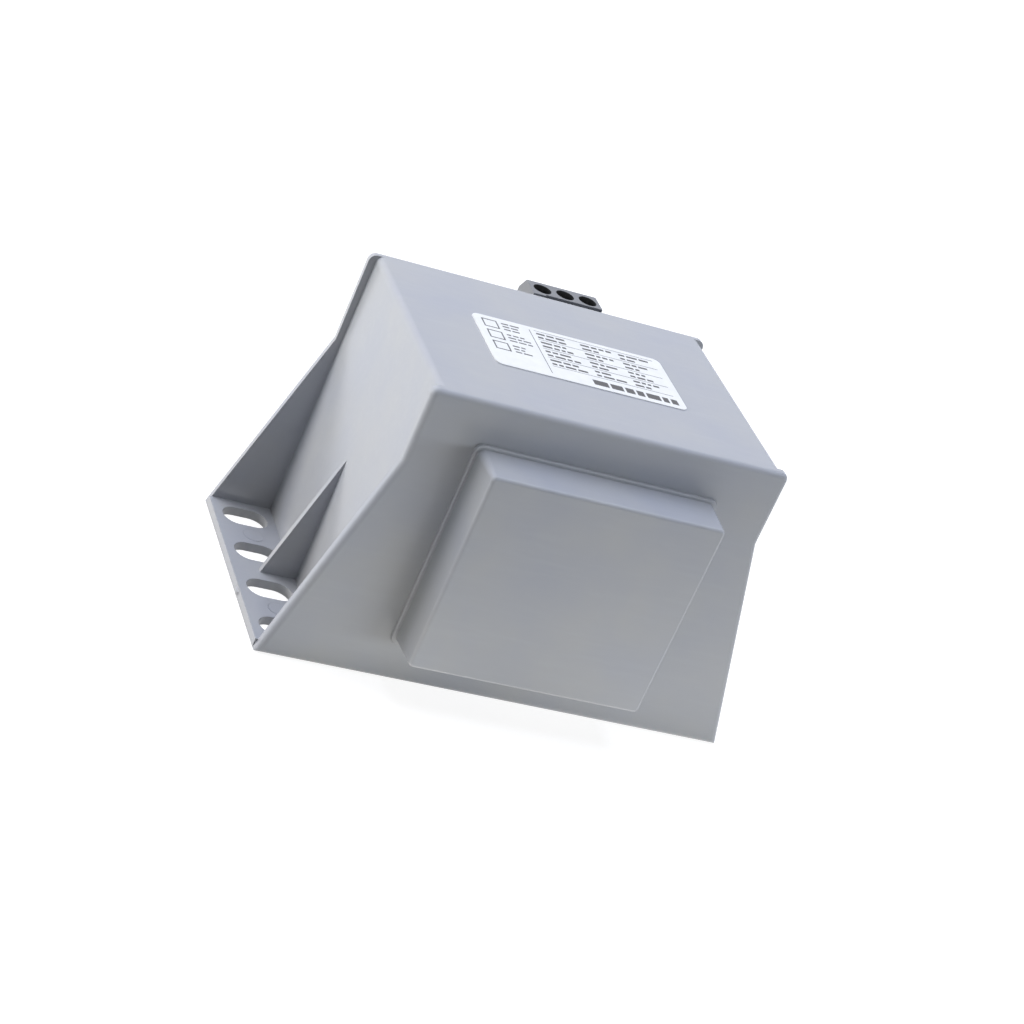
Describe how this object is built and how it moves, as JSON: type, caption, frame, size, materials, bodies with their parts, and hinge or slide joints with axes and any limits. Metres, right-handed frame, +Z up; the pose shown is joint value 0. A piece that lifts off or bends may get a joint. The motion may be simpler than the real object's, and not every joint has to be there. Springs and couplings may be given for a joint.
{
  "type": "encapsulated transformer",
  "caption": "Chassis transformer in a moulded grey housing, with flared cheeks, slotted end flanges, a bulge over the coil, a roof label and screw terminals at the rear",
  "frame": {"origin": "centre of the base, half way between the two cheeks and the two flanges", "axes": "+Z up, out of the base that is screwed to a chassis; +X along the flanges' length; -Y is the blank front with the bulge and +Y the terminal side"},
  "size_m": [0.097, 0.074, 0.06],
  "materials": {
    "housing_plastic": "satin moulded grey",
    "potting_resin": "poured, glossy",
    "label_film": "smooth white film",
    "core_steel": "stacked laminations",
    "bobbin_plastic": "moulded natural nylon",
    "winding_copper": "enamelled copper wire",
    "winding_tape": "polyester tape",
    "fuse_case": "moulded case",
    "lead_strip": "tinned copper strip",
    "terminal_plastic": "moulded grey nylon",
    "screw_steel": "zinc plated",
    "clamp_brass": "nickel plated",
    "pin_tin": "tinned"
  },
  "bodies": {
    "root": {"housing": "housing_plastic", "potting_resin": "potting_resin", "rating_label": "label_film", "core_e_stack": "core_steel", "core_i_stack": "core_steel", "bobbin": "bobbin_plastic", "thermal_fuse": "fuse_case", "primary_lead_1": "lead_strip", "primary_lead_2": "lead_strip", "secondary_lead_1": "lead_strip", "secondary_lead_2": "lead_strip", "primary_winding": "winding_copper", "primary_tape": "winding_tape", "primary_terminal_body": "terminal_plastic", "primary_terminal_screws": "screw_steel", "primary_clamp_1": "clamp_brass", "primary_pin_1": "pin_tin", "primary_clamp_2": "clamp_brass", "primary_pin_2": "pin_tin", "primary_clamp_3": "clamp_brass", "primary_pin_3": "pin_tin", "secondary_winding": "winding_copper", "secondary_tape": "winding_tape", "secondary_terminal_body": "terminal_plastic", "secondary_terminal_screws": "screw_steel", "secondary_clamp_1": "clamp_brass", "secondary_pin_1": "pin_tin", "secondary_clamp_2": "clamp_brass", "secondary_pin_2": "pin_tin", "secondary_clamp_3": "clamp_brass", "secondary_pin_3": "pin_tin"}
  },
  "joints": []
}
